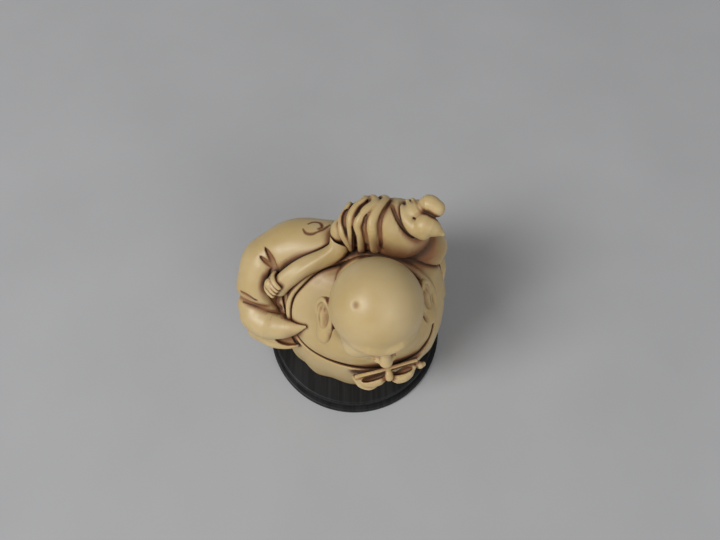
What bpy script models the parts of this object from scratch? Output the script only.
"""Round-bellied standing figure with a sack over its back, pegged together from cast pieces and screwed to a
turned plinth. Metres, +Z up, origin on the underside at the plinth's axis, the figure facing -Y."""

import math

import bmesh
import bpy
from mathutils import Matrix, Vector

MM = 0.001

# Plinth, turned from black-stained wood
PLINTH_RADIUS = 25.0 * MM
PLINTH_HEIGHT = 5.5 * MM
PLINTH_TOP_RADIUS = 23.6 * MM
FOOT_HEIGHT = 1.7 * MM
GROOVE_DEPTH = 0.7 * MM
GROOVE_HEIGHT = 0.6 * MM
EDGE_ROUND = 0.6 * MM

# Felt disc let into the underside
FELT_RADIUS = 20.0 * MM
FELT_THICKNESS = 1.0 * MM

# Countersunk screw, from below, and the dowel that stops the figure from turning
SCREW_HEAD_RADIUS = 2.9 * MM
SCREW_HEAD_HEIGHT = 1.8 * MM
SCREW_SHANK_RADIUS = 1.4 * MM
SCREW_THREAD_DEPTH = 0.35 * MM
SCREW_PITCH = 1.3 * MM
SCREW_LENGTH = 15.0 * MM
SCREW_SLOT_WIDTH = 0.8 * MM
SCREW_SLOT_DEPTH = 0.9 * MM
DOWEL_RADIUS = 1.0 * MM
DOWEL_LENGTH = 7.0 * MM
DOWEL_DEPTH_IN_PLINTH = 2.8 * MM
DOWEL_OFFSET = 9.0 * MM

# Gaps: between cast faces, and round a peg in its socket
SEAT_GAP = 0.3 * MM
PEG_GAP = 0.15 * MM
PEG_RADIUS = 1.3 * MM
PEG_LENGTH = 7.0 * MM

# Robe, the outer garment from hem to nape
ROBE_WIDTH = 42.4 * MM
ROBE_DEPTH = 32.8 * MM
ROBE_HEIGHT = 40.2 * MM
COLLAR_RADIUS = 0.95 * MM
COLLAR_SHARES = (1, 1, 1, 0.95, 0.75, 0.42, 0.32, 0.32, 0.42, 0.63, 0.84, 0.95, 1)

# Bare chest and belly, seen through the open front of the robe
BELLY_BULGE = 0.8 * MM
ROBE_SIDE_WALL = 1.1 * MM
ROBE_BACK_WALL = 4.5 * MM
ROBE_FRONT_WALL = 1.6 * MM

# Head
HEAD_WIDTH = 20.4 * MM
HEAD_LENGTH = 20.6 * MM
HEAD_HEIGHT = 23.8 * MM
HEAD_FORWARD = 15.3 * MM
HEAD_SIDE = 2.8 * MM
HEAD_RISE = 3.2 * MM
HEAD_TURN = 10.0
HEAD_NOD = 6.0
EAR_LENGTH = 12.5 * MM
EAR_WIDTH = 5.4 * MM
EAR_THICKNESS = 2.4 * MM
EAR_SPLAY = 38.0
EAR_LEAN = 20.0
EAR_SET = 1.10
EAR_DROP = 0.30
EYE_SET = 0.40
CHEEK_SET = 0.56
NOSE_LENGTH = HEAD_HEIGHT * 0.235
NOSE_WIDTH = HEAD_WIDTH * 0.20
EYE_WIDTH = HEAD_WIDTH * 0.20
MOUTH_WIDTH = HEAD_WIDTH * 0.27
CHEEK_WIDTH = HEAD_WIDTH * 0.26
CHIN_WIDTH = HEAD_WIDTH * 0.27
FEATURE_RELIEF = 0.9 * MM
NECK_RADIUS = 3.0 * MM
NECK_LENGTH = 11.0 * MM

# Sleeves: radius at the shoulder, elbow and mouth, and the depth of the mouth's hollow
SLEEVE_SHOULDER_RADIUS = 7.3 * MM
SLEEVE_ELBOW_RADIUS = 5.3 * MM
SLEEVE_MOUTH_RADIUS = 4.6 * MM
SLEEVE_MOUTH_WALL = 1.2 * MM
SLEEVE_MOUTH_DEPTH = 4.0 * MM
LEFT_SLEEVE_RADIUS = 5.6 * MM

# Sack, its twisted neck over the right shoulder and the knot of its corners
SACK_WIDTH = 24.0 * MM
SACK_DEPTH = 15.0 * MM
SACK_SHARES = ((0.74, 0.74), (0.98, 0.98), (1.0, 1.0), (0.90, 1.0), (0.62, 0.84))
GATHER_RADIUS = 6.4 * MM
GATHER_SHARES = (1.08, 1.0, 0.90, 0.52)
GATHER_FOLDS = 4
GATHER_FOLD_DEPTH = 0.55 * MM
STRAP_RADIUS = 2.3 * MM
KNOT_RADIUS = 3.0 * MM
KNOT_EAR_LENGTH = 7.6 * MM
KNOT_EAR_FLATNESS = 0.8
KNOT_EARS = (
    (Vector((0.74, 0.12, 0.66)), 0.75, 0.75),
    (Vector((0.86, -0.39, -0.31)), 1.00, 0.35),
)

# Right hand that grips the twisted neck
FINGER_RADIUS = 0.8 * MM
FINGER_COUNT = 4
FINGER_TURNS = (45, 8, -28, -65)
PALM_RADIUS = 1.6 * MM
HAND_INSET = 0.9 * MM

# Bow of the sash
BOW_LOOP_LENGTH = 7.8 * MM
BOW_LOOP_DEPTH = 2.8 * MM
BOW_LOOP_OPEN = 0.8
BOW_RIBBON_WIDTH = 4.0 * MM
BOW_RIBBON_THICKNESS = 0.9 * MM
BOW_KNOT_WIDTH = 2.6 * MM
BOW_TAIL_LENGTH = 8.5 * MM
BOW_TAIL_WIDTH = 5.4 * MM

# Where the pieces sit on the robe: turn round it in degrees, share of its height, steps out of its surface
STEP = 1.0 * MM
COLLAR_ROUTE = (
    (272, 0.980, -4.4 * STEP),
    (203, 0.945, -1.6 * STEP),
    (204, 0.870, -0.2 * STEP),
    (202, 0.760, 0.2 * STEP),
    (210, 0.610, 0.3 * STEP),
    (230, 0.510, 0.3 * STEP),
    (258, 0.455, 0.2 * STEP),
    (286, 0.400, 0.2 * STEP),
    (310, 0.405, 0.3 * STEP),
    (325, 0.500, 0.3 * STEP),
    (333, 0.680, 0.3 * STEP),
    (338, 0.850, 0.1 * STEP),
    (338, 0.950, -1.8 * STEP),
)
RIGHT_SLEEVE_ROUTE = (
    (133, 0.840, -4.6 * STEP),
    (151, 0.813, 1.1 * STEP),
    (167, 0.751, 5.1 * STEP),
    (180, 0.652, 6.4 * STEP),
    (191, 0.540, 4.7 * STEP),
    (205, 0.465, 0.6 * STEP),
)
LEFT_SLEEVE_ROUTE = (
    (22, 0.800, -5.0 * STEP),
    (32, 0.630, -2.2 * STEP),
    (34, 0.450, -1.4 * STEP),
    (28, 0.270, -1.0 * STEP),
)
SACK_ROUTE = (
    (79, 0.080, 1.4 * STEP),
    (79, 0.220, 2.2 * STEP),
    (77, 0.480, 2.2 * STEP),
    (65, 0.740, 1.0 * STEP),
    (40, 0.920, 1.2 * STEP),
)
GATHER_ROUTE = (
    (28, 1.045, 6.2 * STEP),
    (46, 1.112, 2.8 * STEP),
    (95, 1.137, 1.0 * STEP),
    (140, 1.100, 1.2 * STEP),
)
KNOT_SEAT = (21, 1.224, 8.2 * STEP)
STRAP_ROUTE = (
    (151, 1.087, 1.6 * STEP),
    (186, 1.015, 2.0 * STEP),
    (196, 0.935, 1.9 * STEP),
    (195, 0.860, 2.7 * STEP),
    (194, 0.815, 2.8 * STEP),
)
BOW_SEAT = (286, 0.415)
PEG_PLACES = {
    "right_sleeve": (158, 0.77, 3.0 * STEP),
    "left_sleeve": (33, 0.52, 1.5 * STEP),
    "sack": (77, 0.50, 3.0 * STEP),
    "sash_bow": (BOW_SEAT[0], BOW_SEAT[1], BOW_LOOP_DEPTH / 2),
}
OPENING_DIRECTION = Vector((0.10, -0.75, 0.65)).normalized()

# Robe's horizontal sections: share of height, shift to +X and +Y, shares of the full width and depth
ROBE_SECTIONS = (
    (0.00, 2.0 * STEP, -2.2 * STEP, 0.967, 0.963),
    (0.10, 2.0 * STEP, -2.3 * STEP, 0.991, 0.988),
    (0.27, 2.2 * STEP, -2.4 * STEP, 1.000, 1.000),
    (0.43, 2.4 * STEP, -2.1 * STEP, 0.991, 0.988),
    (0.60, 2.6 * STEP, -1.0 * STEP, 0.962, 0.927),
    (0.76, 2.8 * STEP, 0.8 * STEP, 0.896, 0.805),
    (0.89, 2.6 * STEP, 2.6 * STEP, 0.731, 0.622),
    (0.965, 2.4 * STEP, 3.4 * STEP, 0.472, 0.402),
    (1.00, 2.4 * STEP, 3.8 * STEP, 0.189, 0.183),
)
# Chest and belly: share of the robe's height, shares of its side, back and front walls, share of the bulge
TORSO_SECTIONS = (
    (0.00, 2.4, 1.0, 2.4, 0.0),
    (0.27, 1.9, 1.0, 1.5, 0.0),
    (0.41, 1.3, 1.0, 0.9, 0.0),
    (0.50, 1.0, 1.0, 0.1, 0.1),
    (0.58, 1.0, 1.0, 0.0, 0.9),
    (0.68, 1.0, 1.0, 0.0, 1.0),
    (0.78, 1.0, 1.0, 0.0, 0.2),
    (0.89, 1.0, 0.9, 0.5, 0.0),
    (0.955, 1.0, 0.5, 0.6, 0.0),
)
# The exact solver loses whole bodies where the cast forms meet at a grazing angle
CAST_SOLVER = "MANIFOLD"
TURNED_SOLVER = "EXACT"
ROBE_SEGMENTS = 36
COLLAR_STEPS = 48
TUBE_SEGMENTS = 14
HEM_HEIGHT = PLINTH_HEIGHT + SEAT_GAP
RIGHT = Vector((1, 0, 0))
BACK = Vector((0, 1, 0))
UP = Vector((0, 0, 1))


def clear_scene():
    for obj in list(bpy.data.objects):
        bpy.data.objects.remove(obj)


def material(name, colour, roughness, metallic=0.0):
    made = bpy.data.materials.new(name)
    made.use_nodes = True
    shader = made.node_tree.nodes["Principled BSDF"]
    shader.inputs["Base Color"].default_value = (*colour, 1.0)
    shader.inputs["Roughness"].default_value = roughness
    shader.inputs["Metallic"].default_value = metallic
    return made


# Shape tools


def smooth_row(rows, at):
    """The row at a parameter, on a smooth curve through rows whose first column is that parameter."""
    last = len(rows) - 1
    i = next((k for k in range(last) if at <= rows[k + 1][0]), last - 1)
    before, start, end, after = rows[max(i - 1, 0)], rows[i], rows[i + 1], rows[min(i + 2, last)]
    span = end[0] - start[0]
    s = (at - start[0]) / span
    made = []
    for p, a, b, n in zip(before[1:], start[1:], end[1:], after[1:]):
        leave = (b - p) * span / (end[0] - before[0])
        arrive = (n - a) * span / (after[0] - start[0])
        made.append(
            a * (2 * s**3 - 3 * s**2 + 1)
            + b * (3 * s**2 - 2 * s**3)
            + leave * (s**3 - 2 * s**2 + s)
            + arrive * (s**3 - s**2)
        )
    return made


def spaced(rows):
    """Rows numbered in their first column by distance along the points in their first three columns."""
    total = 0.0
    made = []
    for k, row in enumerate(rows):
        total += (Vector(row[:3]) - Vector(rows[k - 1][:3])).length if k else 0.0
        made.append((total, *row))
    return made


def mesh_object(name, bm):
    bmesh.ops.remove_doubles(bm, verts=bm.verts, dist=1e-7)
    bmesh.ops.recalc_face_normals(bm, faces=bm.faces)
    mesh = bpy.data.meshes.new(name)
    bm.to_mesh(mesh)
    bm.free()
    obj = bpy.data.objects.new(name, mesh)
    bpy.context.scene.collection.objects.link(obj)
    return obj


def loft(name, rings):
    """A closed solid through rings of equal count, flat at both ends."""
    bm = bmesh.new()
    loops = [[bm.verts.new(p) for p in ring] for ring in rings]
    for low, high in zip(loops, loops[1:]):
        for k in range(len(low)):
            n = (k + 1) % len(low)
            bm.faces.new((low[k], low[n], high[n], high[k]))
    bm.faces.new(list(reversed(loops[0])))
    bm.faces.new(loops[-1])
    return mesh_object(name, bm)


def ellipse(centre, across, along, count):
    turns = (2 * math.pi * k / count for k in range(count))
    return [centre + across * math.cos(a) + along * math.sin(a) for a in turns]


def turned(name, profile, count, centre=Vector((0, 0, 0))):
    """A solid of revolution about +Z from (radius, height) points, bottom to top, closed on the axis."""
    rings = [
        ellipse(centre + UP * z, Vector((r, 0, 0)), Vector((0, r, 0)), count) for r, z in profile
    ]
    return loft(name, rings)


def tube(name, rows, count, steps, across=RIGHT, fold=None, dome=0.55):
    """A tube along rows of (x, y, z, half width, half thickness), its width lying across and its ends domed.
    fold adds to both halves."""
    numbered = spaced(rows)
    length = numbered[-1][0]
    samples = [smooth_row(numbered, length * k / steps) for k in range(steps + 1)]
    points = [Vector(sample[:3]) for sample in samples]
    side = across
    rings = []
    for k, (wide, thick) in enumerate(sample[3:] for sample in samples):
        ahead = (points[min(k + 1, steps)] - points[max(k - 1, 0)]).normalized()
        side = (side - ahead * side.dot(ahead)).normalized()
        other = ahead.cross(side)
        extra = fold(k / steps) if fold else 0.0
        rings.append((points[k], ahead, side * (wide + extra), other * (thick + extra)))
    made = []
    first, last = rings[0], rings[-1]
    for share in (0.35, 0.75):
        made.append(domed(first, -dome, share, count))
    made += [ellipse(p, a, b, count) for p, _, a, b in rings]
    for share in (0.75, 0.35):
        made.append(domed(last, dome, share, count))
    return loft(name, made)


def domed(ring, reach, share, count):
    """A smaller ring beyond the end of a tube, for a rounded end."""
    point, ahead, across, along = ring
    out = reach * min(across.length, along.length) * math.sqrt(1 - share**2)
    return ellipse(point + ahead * out, across * share, along * share, count)


def ball(name, centre, radii, turn=None, count=16, rows=10):
    """An ellipsoid with its poles on its own Z, turned by a matrix."""
    bm = bmesh.new()
    bmesh.ops.create_uvsphere(bm, u_segments=count, v_segments=rows, radius=1.0)
    turned_by = (turn or Matrix.Identity(3)).to_4x4()
    place = Matrix.Translation(centre) @ turned_by @ Matrix.Diagonal((*radii, 1.0))
    bmesh.ops.transform(bm, matrix=place, verts=bm.verts)
    return mesh_object(name, bm)


def rod(name, start, end, radius, count=16):
    ahead = (end - start).normalized()
    side = ahead.orthogonal().normalized()
    other = ahead.cross(side)
    return loft(name, [ellipse(p, side * radius, other * radius, count) for p in (start, end)])


def combine(target, tool, operation, solver):
    """Joins tool to target or cuts it from target, and drops tool."""
    step = target.modifiers.new(operation, "BOOLEAN")
    step.operation = operation
    step.solver = solver
    step.object = tool
    bpy.context.view_layer.update()
    graph = bpy.context.evaluated_depsgraph_get()
    made = bpy.data.meshes.new_from_object(target.evaluated_get(graph))
    target.modifiers.clear()
    target.data = made
    bpy.data.objects.remove(tool)
    return target


def join(target, *tools, solver=CAST_SOLVER):
    for tool in tools:
        combine(target, tool, "UNION", solver)
    return target


def cut(target, *tools, solver=CAST_SOLVER):
    for tool in tools:
        combine(target, tool, "DIFFERENCE", solver)
    return target


def keep_largest(obj):
    """Drops the scraps that a cut leaves beside the main body."""
    bm = bmesh.new()
    bm.from_mesh(obj.data)
    bm.verts.ensure_lookup_table()
    left = set(bm.verts)
    islands = []
    while left:
        island = {left.pop()}
        front = set(island)
        while front:
            near = {e.other_vert(v) for v in front for e in v.link_edges}
            front = near - island
            island |= front
        left -= island
        islands.append(island)
    islands.sort(key=island_size)
    bmesh.ops.delete(bm, geom=[v for island in islands[:-1] for v in island], context="VERTS")
    bm.to_mesh(obj.data)
    bm.free()
    return obj


def island_size(island):
    lows = [min(v.co[k] for v in island) for k in range(3)]
    highs = [max(v.co[k] for v in island) for k in range(3)]
    return math.prod(h - low for h, low in zip(highs, lows))


def finish(obj, name, finish_material):
    obj.name = name
    obj.data.name = name
    obj.data.materials.clear()
    obj.data.materials.append(finish_material)
    obj.data.shade_smooth()
    obj.data.set_sharp_from_angle(angle=math.radians(40))
    obj.parent = bpy.data.objects["figurine"]
    return obj


# Robe and body


def robe_section(share):
    """(height, centre, half width, half depth) of the robe at a share of its height."""
    right, back, wide, deep = smooth_row(ROBE_SECTIONS, min(max(share, 0.0), 1.0))
    height = HEM_HEIGHT + share * ROBE_HEIGHT
    return Vector((right, back, height)), wide * ROBE_WIDTH / 2, deep * ROBE_DEPTH / 2


def on_robe(turn, share, out=0.0):
    """A point at a turn round the robe and a share of its height, out from its surface."""
    centre, wide, deep = robe_section(share)
    a = math.radians(turn)
    return centre + Vector(((wide + out) * math.cos(a), (deep + out) * math.sin(a), 0))


def robe_form(grow=0.0):
    rings = []
    steps = 16
    for k in range(steps + 1):
        centre, wide, deep = robe_section(k / steps)
        if k in (0, steps):
            centre = centre + UP * (grow if k else -grow)
        across, along = Vector((wide + grow, 0, 0)), Vector((0, deep + grow, 0))
        rings.append(ellipse(centre, across, along, ROBE_SEGMENTS))
    return loft("robe_form", rings)


def torso_form(grow=0.0):
    rings = []
    steps = 13
    top = TORSO_SECTIONS[-1][0]
    for k in range(steps + 1):
        share = top * k / steps
        side, back, front, bulge = smooth_row(TORSO_SECTIONS, share)
        centre, wide, deep = robe_section(share)
        front_y = centre.y - deep + front * ROBE_FRONT_WALL - bulge * BELLY_BULGE
        back_y = centre.y + deep - back * ROBE_BACK_WALL
        centre.y = (front_y + back_y) / 2
        if k in (0, steps):
            centre.z += grow if k else -grow
        across = Vector((wide - side * ROBE_SIDE_WALL + grow, 0, 0))
        along = Vector((0, (back_y - front_y) / 2 + grow, 0))
        rings.append(ellipse(centre, across, along, ROBE_SEGMENTS))
    return loft("torso_form", rings)


def collar_points():
    """Points round the edge of the robe's open front, from the nape round and back to it."""
    return [Vector(row[:3]) for row in collar_rows()]


def collar_rows():
    """The same points with the radius of the rolled edge."""
    knots = [(*on_robe(*place), COLLAR_RADIUS * share) for place, share in zip(COLLAR_ROUTE, COLLAR_SHARES)]
    numbered = spaced([*knots[-2:], *knots, *knots[:3]])
    start, end = numbered[2][0], numbered[2 + len(knots)][0]
    return [smooth_row(numbered, start + (end - start) * k / COLLAR_STEPS) for k in range(COLLAR_STEPS)]


def collar_form(grow=0.0):
    points = collar_points()
    radii = [row[3] for row in collar_rows()]
    middle = sum(points, Vector()) / len(points)
    bm = bmesh.new()
    loops = []
    for k, point in enumerate(points):
        ahead = (points[(k + 1) % len(points)] - points[k - 1]).normalized()
        side = (point - middle).cross(ahead).cross(ahead).normalized()
        radius = radii[k] + grow
        ring = ellipse(point, side * radius, ahead.cross(side) * radius, 6)
        loops.append([bm.verts.new(p) for p in ring])
    for k, low in enumerate(loops):
        high = loops[(k + 1) % len(loops)]
        for i in range(len(low)):
            n = (i + 1) % len(low)
            bm.faces.new((low[i], low[n], high[n], high[i]))
    return mesh_object("collar_form", bm)


def opening_form():
    """The open front: the collar's outline swept outwards, and inwards as far as the body."""
    points = collar_points()
    inward = OPENING_DIRECTION * ROBE_BACK_WALL
    outward = OPENING_DIRECTION * ROBE_DEPTH
    return loft("opening_form", [[p - inward for p in points], [p + outward for p in points]])


# Head


def head_centre():
    return robe_section(1.0)[0] + Vector((HEAD_SIDE, -HEAD_FORWARD, HEAD_RISE))


def head_turn():
    return Matrix.Rotation(math.radians(HEAD_TURN), 3, "Z") @ Matrix.Rotation(math.radians(HEAD_NOD), 3, "X")


def on_head(across, forward, up):
    """A point in shares of the head's half sizes from its middle."""
    local = Vector((across * HEAD_WIDTH / 2, -forward * HEAD_LENGTH / 2, up * HEAD_HEIGHT / 2))
    return head_centre() + head_turn() @ local


def skull_form(grow=0.0):
    half = [HEAD_WIDTH / 2 + grow, HEAD_LENGTH / 2 + grow, HEAD_HEIGHT / 2 + grow]
    return ball("skull_form", head_centre(), half, head_turn(), 22, 14)


def ear_form(sign, grow=0.0):
    half = [EAR_THICKNESS / 2 + grow, EAR_WIDTH / 2 + grow, EAR_LENGTH / 2 + grow]
    splay = Matrix.Rotation(math.radians(sign * -EAR_SPLAY), 3, "Z")
    lean = head_turn() @ splay @ Matrix.Rotation(math.radians(-EAR_LEAN), 3, "X")
    return ball("ear_form", on_head(sign * EAR_SET, 0.0, -EAR_DROP), half, lean, 12, 8)


def on_face(across, up):
    """A point on the front of the skull, in shares of its half width and half height."""
    return on_head(across, math.sqrt(1 - across**2 - up**2), up)


def face_parts():
    """Nose, closed eyes, cheeks, lips and chin, each a low rounded form on the skull."""
    relief = FEATURE_RELIEF
    nose = (NOSE_WIDTH / 2, relief * 2, NOSE_LENGTH / 2)
    eye = (EYE_WIDTH / 2, relief, EYE_WIDTH / 4)
    cheek = (CHEEK_WIDTH / 2, relief * 2, CHEEK_WIDTH / 2)
    mouth = (MOUTH_WIDTH / 2, relief, MOUTH_WIDTH / 6)
    chin = (CHIN_WIDTH / 2, relief * 2, CHIN_WIDTH / 3)
    places = (
        (0.0, -0.20, nose),
        (-EYE_SET, 0.0, eye),
        (EYE_SET, 0.0, eye),
        (-CHEEK_SET, -0.36, cheek),
        (CHEEK_SET, -0.36, cheek),
        (0.0, -0.58, mouth),
        (0.0, -0.84, chin),
    )
    made = []
    for across, up, half in places:
        lean = Matrix.Rotation(math.asin(across), 3, "Z") @ Matrix.Rotation(-math.asin(up), 3, "X")
        made.append(ball("feature", on_face(across, up), half, head_turn() @ lean, 10, 6))
    return made


def neck_ends():
    """Ends of the neck's peg: inside the head, and down in the chest."""
    start = on_head(0, -0.35, -0.45)
    chest = robe_section(0.70)[0]
    return start, start + (chest - start).normalized() * NECK_LENGTH


# Sleeves, sack and hand


def route(places, halves):
    """Rows for a tube: points on the robe, each with its half width and half thickness."""
    return [(*on_robe(*place), *half) for place, half in zip(places, halves)]


def right_sleeve_form(grow=0.0):
    shoulder = SLEEVE_SHOULDER_RADIUS + grow
    elbow = SLEEVE_ELBOW_RADIUS + grow
    mouth = SLEEVE_MOUTH_RADIUS + grow
    upper = (shoulder + elbow) / 2
    halves = [(radius, radius) for radius in (shoulder, shoulder, upper, elbow, mouth, mouth)]
    return tube("right_sleeve_form", route(RIGHT_SLEEVE_ROUTE, halves), TUBE_SEGMENTS, 12, BACK, dome=0.15)


def left_sleeve_form():
    halves = [(LEFT_SLEEVE_RADIUS, LEFT_SLEEVE_RADIUS)] * len(LEFT_SLEEVE_ROUTE)
    return tube("left_sleeve_form", route(LEFT_SLEEVE_ROUTE, halves), TUBE_SEGMENTS, 10, dome=0.15)


def mouth_hollow(name, places, radius):
    """The hollow inside a sleeve's mouth, along its last stretch."""
    before, last = on_robe(*places[-2]), on_robe(*places[-1])
    ahead = (last - before).normalized()
    bottom, outside = last - ahead * SLEEVE_MOUTH_DEPTH, last + ahead * radius
    return rod(name, bottom, outside, radius - SLEEVE_MOUTH_WALL, TUBE_SEGMENTS)


def gather_fold(share):
    """The scrunched folds of the sack's neck."""
    return GATHER_FOLD_DEPTH * math.sin(share * GATHER_FOLDS * 2 * math.pi)


def bag_form(grow=0.0):
    wide, deep = SACK_WIDTH / 2 + grow, SACK_DEPTH / 2 + grow
    halves = [(wide * across, deep * thick) for across, thick in SACK_SHARES]
    return tube("bag_form", route(SACK_ROUTE, halves), 18, 11)


def gather_form(grow=0.0):
    halves = [(GATHER_RADIUS * share + grow,) * 2 for share in GATHER_SHARES]
    return tube("gather_form", route(GATHER_ROUTE, halves), 16, 24, BACK, fold=gather_fold)


def sack_cutters():
    return bag_form(SEAT_GAP), gather_form(SEAT_GAP)


def strap_form(grow=0.0):
    halves = [(STRAP_RADIUS + grow,) * 2] * len(STRAP_ROUTE)
    return tube("strap_form", route(STRAP_ROUTE, halves), 10, 11, BACK)


def knot_parts():
    """The knot's ball, and its two ears: a round one up and back, and a pointed one out and forward."""
    middle = on_robe(*KNOT_SEAT)
    made = [ball("knot_ball", middle, [KNOT_RADIUS] * 3, None, 12, 8)]
    for direction, stretch, tip in KNOT_EARS:
        ahead = direction.normalized()
        reach = KNOT_EAR_LENGTH * stretch
        rows = [
            (*(middle + ahead * reach * at), KNOT_RADIUS * fat, KNOT_RADIUS * fat * KNOT_EAR_FLATNESS)
            for at, fat in ((0.15, 0.55), (0.45, 0.80), (0.75, 1.0), (1.0, tip))
        ]
        made.append(tube("knot_ear", rows, 10, 6, BACK))
    return made


def hand_parts(grow=0.0):
    """The palm behind the twisted neck, and fingers bent over it."""
    grip, before = on_robe(*STRAP_ROUTE[-1]), on_robe(*STRAP_ROUTE[-2])
    along = (grip - before).normalized()
    out = on_robe(STRAP_ROUTE[-1][0], STRAP_ROUTE[-1][1], ROBE_WIDTH) - grip
    out = (out - along * out.dot(along)).normalized()
    over = along.cross(out)
    grip = grip - along * HAND_INSET
    bend = STRAP_RADIUS + FINGER_RADIUS + SEAT_GAP
    palm = grip + out * (STRAP_RADIUS + PALM_RADIUS * 0.3)
    made = [ball("palm", palm, [PALM_RADIUS + grow] * 3, None, 12, 8)]
    for k in range(FINGER_COUNT):
        shift = along * (k - (FINGER_COUNT - 1) / 2) * FINGER_RADIUS * 1.7
        rows = []
        for turn in FINGER_TURNS:
            a = math.radians(turn)
            point = grip + shift + out * bend * math.cos(a) + over * bend * math.sin(a)
            rows.append((*point, FINGER_RADIUS + grow, FINGER_RADIUS + grow))
        made.append(tube("finger", rows, 8, 4, along))
    return made


# Bow


def bow_frame():
    """(middle on the robe, along the sash, out of the robe) of the bow."""
    turn, share = BOW_SEAT
    middle = on_robe(turn, share, SEAT_GAP)
    along = (on_robe(turn + 8, share) - on_robe(turn - 8, share)).normalized()
    return middle, along, along.cross(UP).normalized()


def ribbon(name, line, width, thickness):
    """An upright ribbon along a line of points: its width stands up, its thickness lies across the line."""
    bm = bmesh.new()
    loops = []
    for k, point in enumerate(line):
        ahead = (line[min(k + 1, len(line) - 1)] - line[max(k - 1, 0)]).normalized()
        flat = ahead.cross(UP).normalized() * thickness / 2
        tall = UP * width / 2
        corners = (flat + tall, flat - tall, -flat - tall, -flat + tall)
        loops.append([bm.verts.new(point + c) for c in corners])
    for low, high in zip(loops, loops[1:]):
        for i in range(4):
            n = (i + 1) % 4
            bm.faces.new((low[i], low[n], high[n], high[i]))
    bm.faces.new(loops[0])
    bm.faces.new(list(reversed(loops[-1])))
    return mesh_object(name, bm)


def loop_line(sign):
    """A ribbon's line from the knot, out round a loop and back to the knot."""
    middle, along, out = bow_frame()
    line = []
    steps = 12
    for k in range(steps + 1):
        a = BOW_LOOP_OPEN * math.pi * (2 * k / steps - 1)
        reach = BOW_LOOP_LENGTH * (1 + math.cos(a)) / 2
        depth = BOW_LOOP_DEPTH * (1 + math.sin(a)) / 2
        line.append(middle + along * sign * reach + out * depth)
    return line


def bow_parts():
    middle, along, out = bow_frame()
    made = []
    turn = Matrix((along, out, UP)).transposed()
    knot = [BOW_KNOT_WIDTH / 2, BOW_LOOP_DEPTH / 2, BOW_RIBBON_WIDTH * 0.55]
    made.append(ball("bow_knot", middle + out * BOW_LOOP_DEPTH / 2, knot, turn, 10, 8))
    for sign in (-1, 1):
        made.append(ribbon("bow_loop", loop_line(sign), BOW_RIBBON_WIDTH, BOW_RIBBON_THICKNESS))
        start = middle + out * BOW_LOOP_DEPTH * 0.45
        lean = (along * sign * 0.55 - UP * 0.85).normalized()
        rows = []
        for at in (0.1, 0.4, 0.7, 1.0):
            point = start + lean * BOW_TAIL_LENGTH * at
            half = BOW_TAIL_WIDTH * (0.28 + 0.22 * at)
            rows.append((*point, half, BOW_RIBBON_THICKNESS * 0.7))
        made.append(tube("bow_tail", rows, 10, 4, along))
    return made


# Pegs that hold the cast pieces to the robe


def peg_ends(place):
    """From a place outside the robe, straight in towards its middle."""
    start = on_robe(*place)
    middle = robe_section(place[1])[0]
    start.z = middle.z = min(start.z, robe_section(0.93)[0].z)
    return start, start + (middle - start).normalized() * PEG_LENGTH


def peg(piece, grow=0.0):
    start, end = peg_ends(PEG_PLACES[piece])
    ahead = (end - start).normalized()
    return rod("peg", start, end + ahead * grow * 2, PEG_RADIUS + grow)


# Pieces


def screw_axis():
    return Vector((robe_section(0.0)[0].x, robe_section(0.0)[0].y, 0))


def screw_base():
    return FELT_THICKNESS + SEAT_GAP


def screw_profile():
    """(radius, height) from the head's flat up to the point, with the thread as rings."""
    z = screw_base()
    neck = z + SCREW_HEAD_HEIGHT
    root = SCREW_SHANK_RADIUS - SCREW_THREAD_DEPTH
    tip = z + SCREW_LENGTH
    points = [(SCREW_HEAD_RADIUS, z), (SCREW_HEAD_RADIUS, z + 0.25 * MM), (SCREW_SHANK_RADIUS, neck)]
    z = neck + SCREW_PITCH
    while z + SCREW_PITCH < tip - SCREW_SHANK_RADIUS:
        points += [(SCREW_SHANK_RADIUS, z), (root, z + SCREW_PITCH / 2)]
        z += SCREW_PITCH
    points += [(SCREW_SHANK_RADIUS, z), (0.25 * MM, tip)]
    return points


def make_screw():
    screw = turned("screw_form", screw_profile(), 16, screw_axis())
    slot = bmesh.new()
    bmesh.ops.create_cube(slot, size=1.0)
    size = (SCREW_HEAD_RADIUS * 3, SCREW_SLOT_WIDTH, SCREW_SLOT_DEPTH * 2)
    place = Matrix.Translation(screw_axis() + UP * screw_base()) @ Matrix.Diagonal((*size, 1.0))
    bmesh.ops.transform(slot, matrix=place, verts=slot.verts)
    return cut(screw, mesh_object("slot", slot), solver=TURNED_SOLVER)


def screw_hole():
    """The plain hole for the screw, countersunk, right through plinth and figure."""
    z = screw_base() - SEAT_GAP * 2
    neck = screw_base() + SCREW_HEAD_HEIGHT
    wide, narrow = SCREW_HEAD_RADIUS + SEAT_GAP, SCREW_SHANK_RADIUS + PEG_GAP
    top = screw_base() + SCREW_LENGTH + SEAT_GAP
    profile = [(wide, z), (wide, screw_base() + SEAT_GAP), (narrow, neck + SEAT_GAP), (narrow, top)]
    return turned("screw_hole", profile, 16, screw_axis())


def dowel_ends(grow=0.0):
    place = screw_axis() + Vector((DOWEL_OFFSET, 0, 0))
    low = PLINTH_HEIGHT - DOWEL_DEPTH_IN_PLINTH
    return place + UP * (low - grow), place + UP * (low + DOWEL_LENGTH + grow)


def rounded_edge(radius, height):
    """Points round a turned upper edge."""
    turns = (math.pi / 2 * k / 3 for k in range(4))
    centre = (radius - EDGE_ROUND, height - EDGE_ROUND)
    return [(centre[0] + EDGE_ROUND * math.cos(a), centre[1] + EDGE_ROUND * math.sin(a)) for a in turns]


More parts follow.
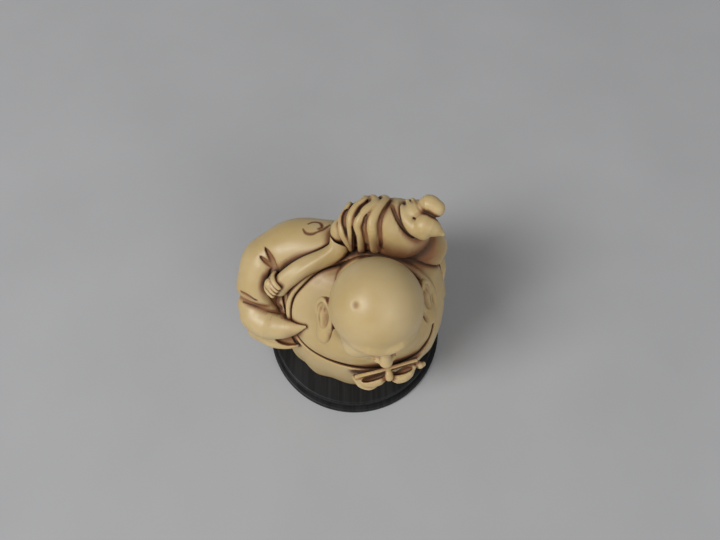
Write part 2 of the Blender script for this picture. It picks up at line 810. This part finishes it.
def make_plinth():
    top = PLINTH_HEIGHT
    neck = PLINTH_TOP_RADIUS - GROOVE_DEPTH
    over = FOOT_HEIGHT + GROOVE_HEIGHT
    profile = [(PLINTH_RADIUS - EDGE_ROUND / 2, 0), (PLINTH_RADIUS, EDGE_ROUND / 2)]
    profile += rounded_edge(PLINTH_RADIUS, FOOT_HEIGHT)
    profile += [(neck, FOOT_HEIGHT), (neck, over), (PLINTH_TOP_RADIUS, over)]
    profile += rounded_edge(PLINTH_TOP_RADIUS, top)
    plinth = turned("plinth_form", profile, 56)
    deep = FELT_THICKNESS + PEG_GAP
    recess = rod("recess", -UP * deep, UP * deep, FELT_RADIUS + SEAT_GAP, 48)
    dowel = rod("dowel_hole", *dowel_ends(PEG_GAP), DOWEL_RADIUS + PEG_GAP)
    return cut(plinth, recess, screw_hole(), dowel, solver=TURNED_SOLVER)


def make_felt():
    return rod("felt_form", Vector((0, 0, 0)), UP * FELT_THICKNESS, FELT_RADIUS, 48)


def make_torso():
    start, end = neck_ends()
    ahead = (end - start).normalized()
    socket = rod("neck_socket", start - ahead * NECK_RADIUS, end + ahead * PEG_GAP, NECK_RADIUS + PEG_GAP)
    dowel = rod("dowel_hole", *dowel_ends(PEG_GAP), DOWEL_RADIUS + PEG_GAP)
    return cut(torso_form(), socket, screw_hole(), dowel, *[peg(piece, PEG_GAP) for piece in PEG_PLACES])


def head_cutters():
    return skull_form(SEAT_GAP), ear_form(-1, SEAT_GAP), ear_form(1, SEAT_GAP)


def make_robe():
    robe = cut(robe_form(), opening_form())
    robe = join(robe, collar_form())
    robe = cut(robe, torso_form(SEAT_GAP), *head_cutters())
    robe = cut(robe, *[peg(piece, PEG_GAP) for piece in PEG_PLACES])
    return keep_largest(robe)


def robe_cutters():
    return robe_form(SEAT_GAP), collar_form(SEAT_GAP), torso_form(SEAT_GAP)


def make_head():
    start, end = neck_ends()
    head = join(skull_form(), ear_form(-1), ear_form(1), *face_parts())
    head = cut(head, torso_form(SEAT_GAP))
    return keep_largest(join(head, rod("neck", start, end, NECK_RADIUS)))


def make_right_sleeve():
    sleeve = cut(right_sleeve_form(), strap_form(SEAT_GAP), *hand_parts(SEAT_GAP))
    sleeve = cut(sleeve, mouth_hollow("hollow", RIGHT_SLEEVE_ROUTE, SLEEVE_MOUTH_RADIUS), *robe_cutters())
    return keep_largest(join(sleeve, peg("right_sleeve")))


def make_left_sleeve():
    sleeve = cut(left_sleeve_form(), mouth_hollow("hollow", LEFT_SLEEVE_ROUTE, LEFT_SLEEVE_RADIUS))
    sleeve = cut(sleeve, *robe_cutters(), *sack_cutters())
    return keep_largest(join(sleeve, peg("left_sleeve")))


def make_sack():
    sack = cut(join(bag_form(), gather_form()), *robe_cutters(), *head_cutters(), right_sleeve_form(SEAT_GAP))
    return keep_largest(join(sack, peg("sack")))


def make_strap():
    strap = cut(strap_form(), *robe_cutters(), *sack_cutters(), *hand_parts(SEAT_GAP))
    return keep_largest(strap)


def make_knot():
    knot = join(*knot_parts())
    return keep_largest(cut(knot, *sack_cutters(), *robe_cutters(), *head_cutters()))


def make_hand():
    hand = join(*hand_parts())
    return keep_largest(cut(hand, *robe_cutters()))


def make_bow():
    bow = join(*bow_parts())
    bow = cut(bow, *robe_cutters())
    return keep_largest(join(bow, peg("sash_bow")))


def main():
    clear_scene()
    bpy.context.scene.collection.objects.link(bpy.data.objects.new("figurine", None))
    resin = material("ivory_resin", (0.66, 0.52, 0.29), 0.42)
    wood = material("black_wood", (0.015, 0.015, 0.016), 0.5)
    felt = material("green_felt", (0.02, 0.05, 0.03), 0.95)
    steel = material("zinc_steel", (0.55, 0.55, 0.53), 0.35, 1.0)
    finish(make_plinth(), "base_plinth", wood)
    finish(make_felt(), "felt_pad", felt)
    finish(make_screw(), "fixing_screw", steel)
    finish(rod("dowel_form", *dowel_ends(), DOWEL_RADIUS), "locating_dowel", steel)
    finish(make_torso(), "torso", resin)
    finish(make_robe(), "robe", resin)
    finish(make_head(), "head", resin)
    finish(make_right_sleeve(), "right_sleeve", resin)
    finish(make_left_sleeve(), "left_sleeve", resin)
    finish(make_sack(), "sack", resin)
    finish(make_strap(), "sack_neck", resin)
    finish(make_knot(), "sack_knot", resin)
    finish(make_hand(), "right_hand", resin)
    finish(make_bow(), "sash_bow", resin)


main()
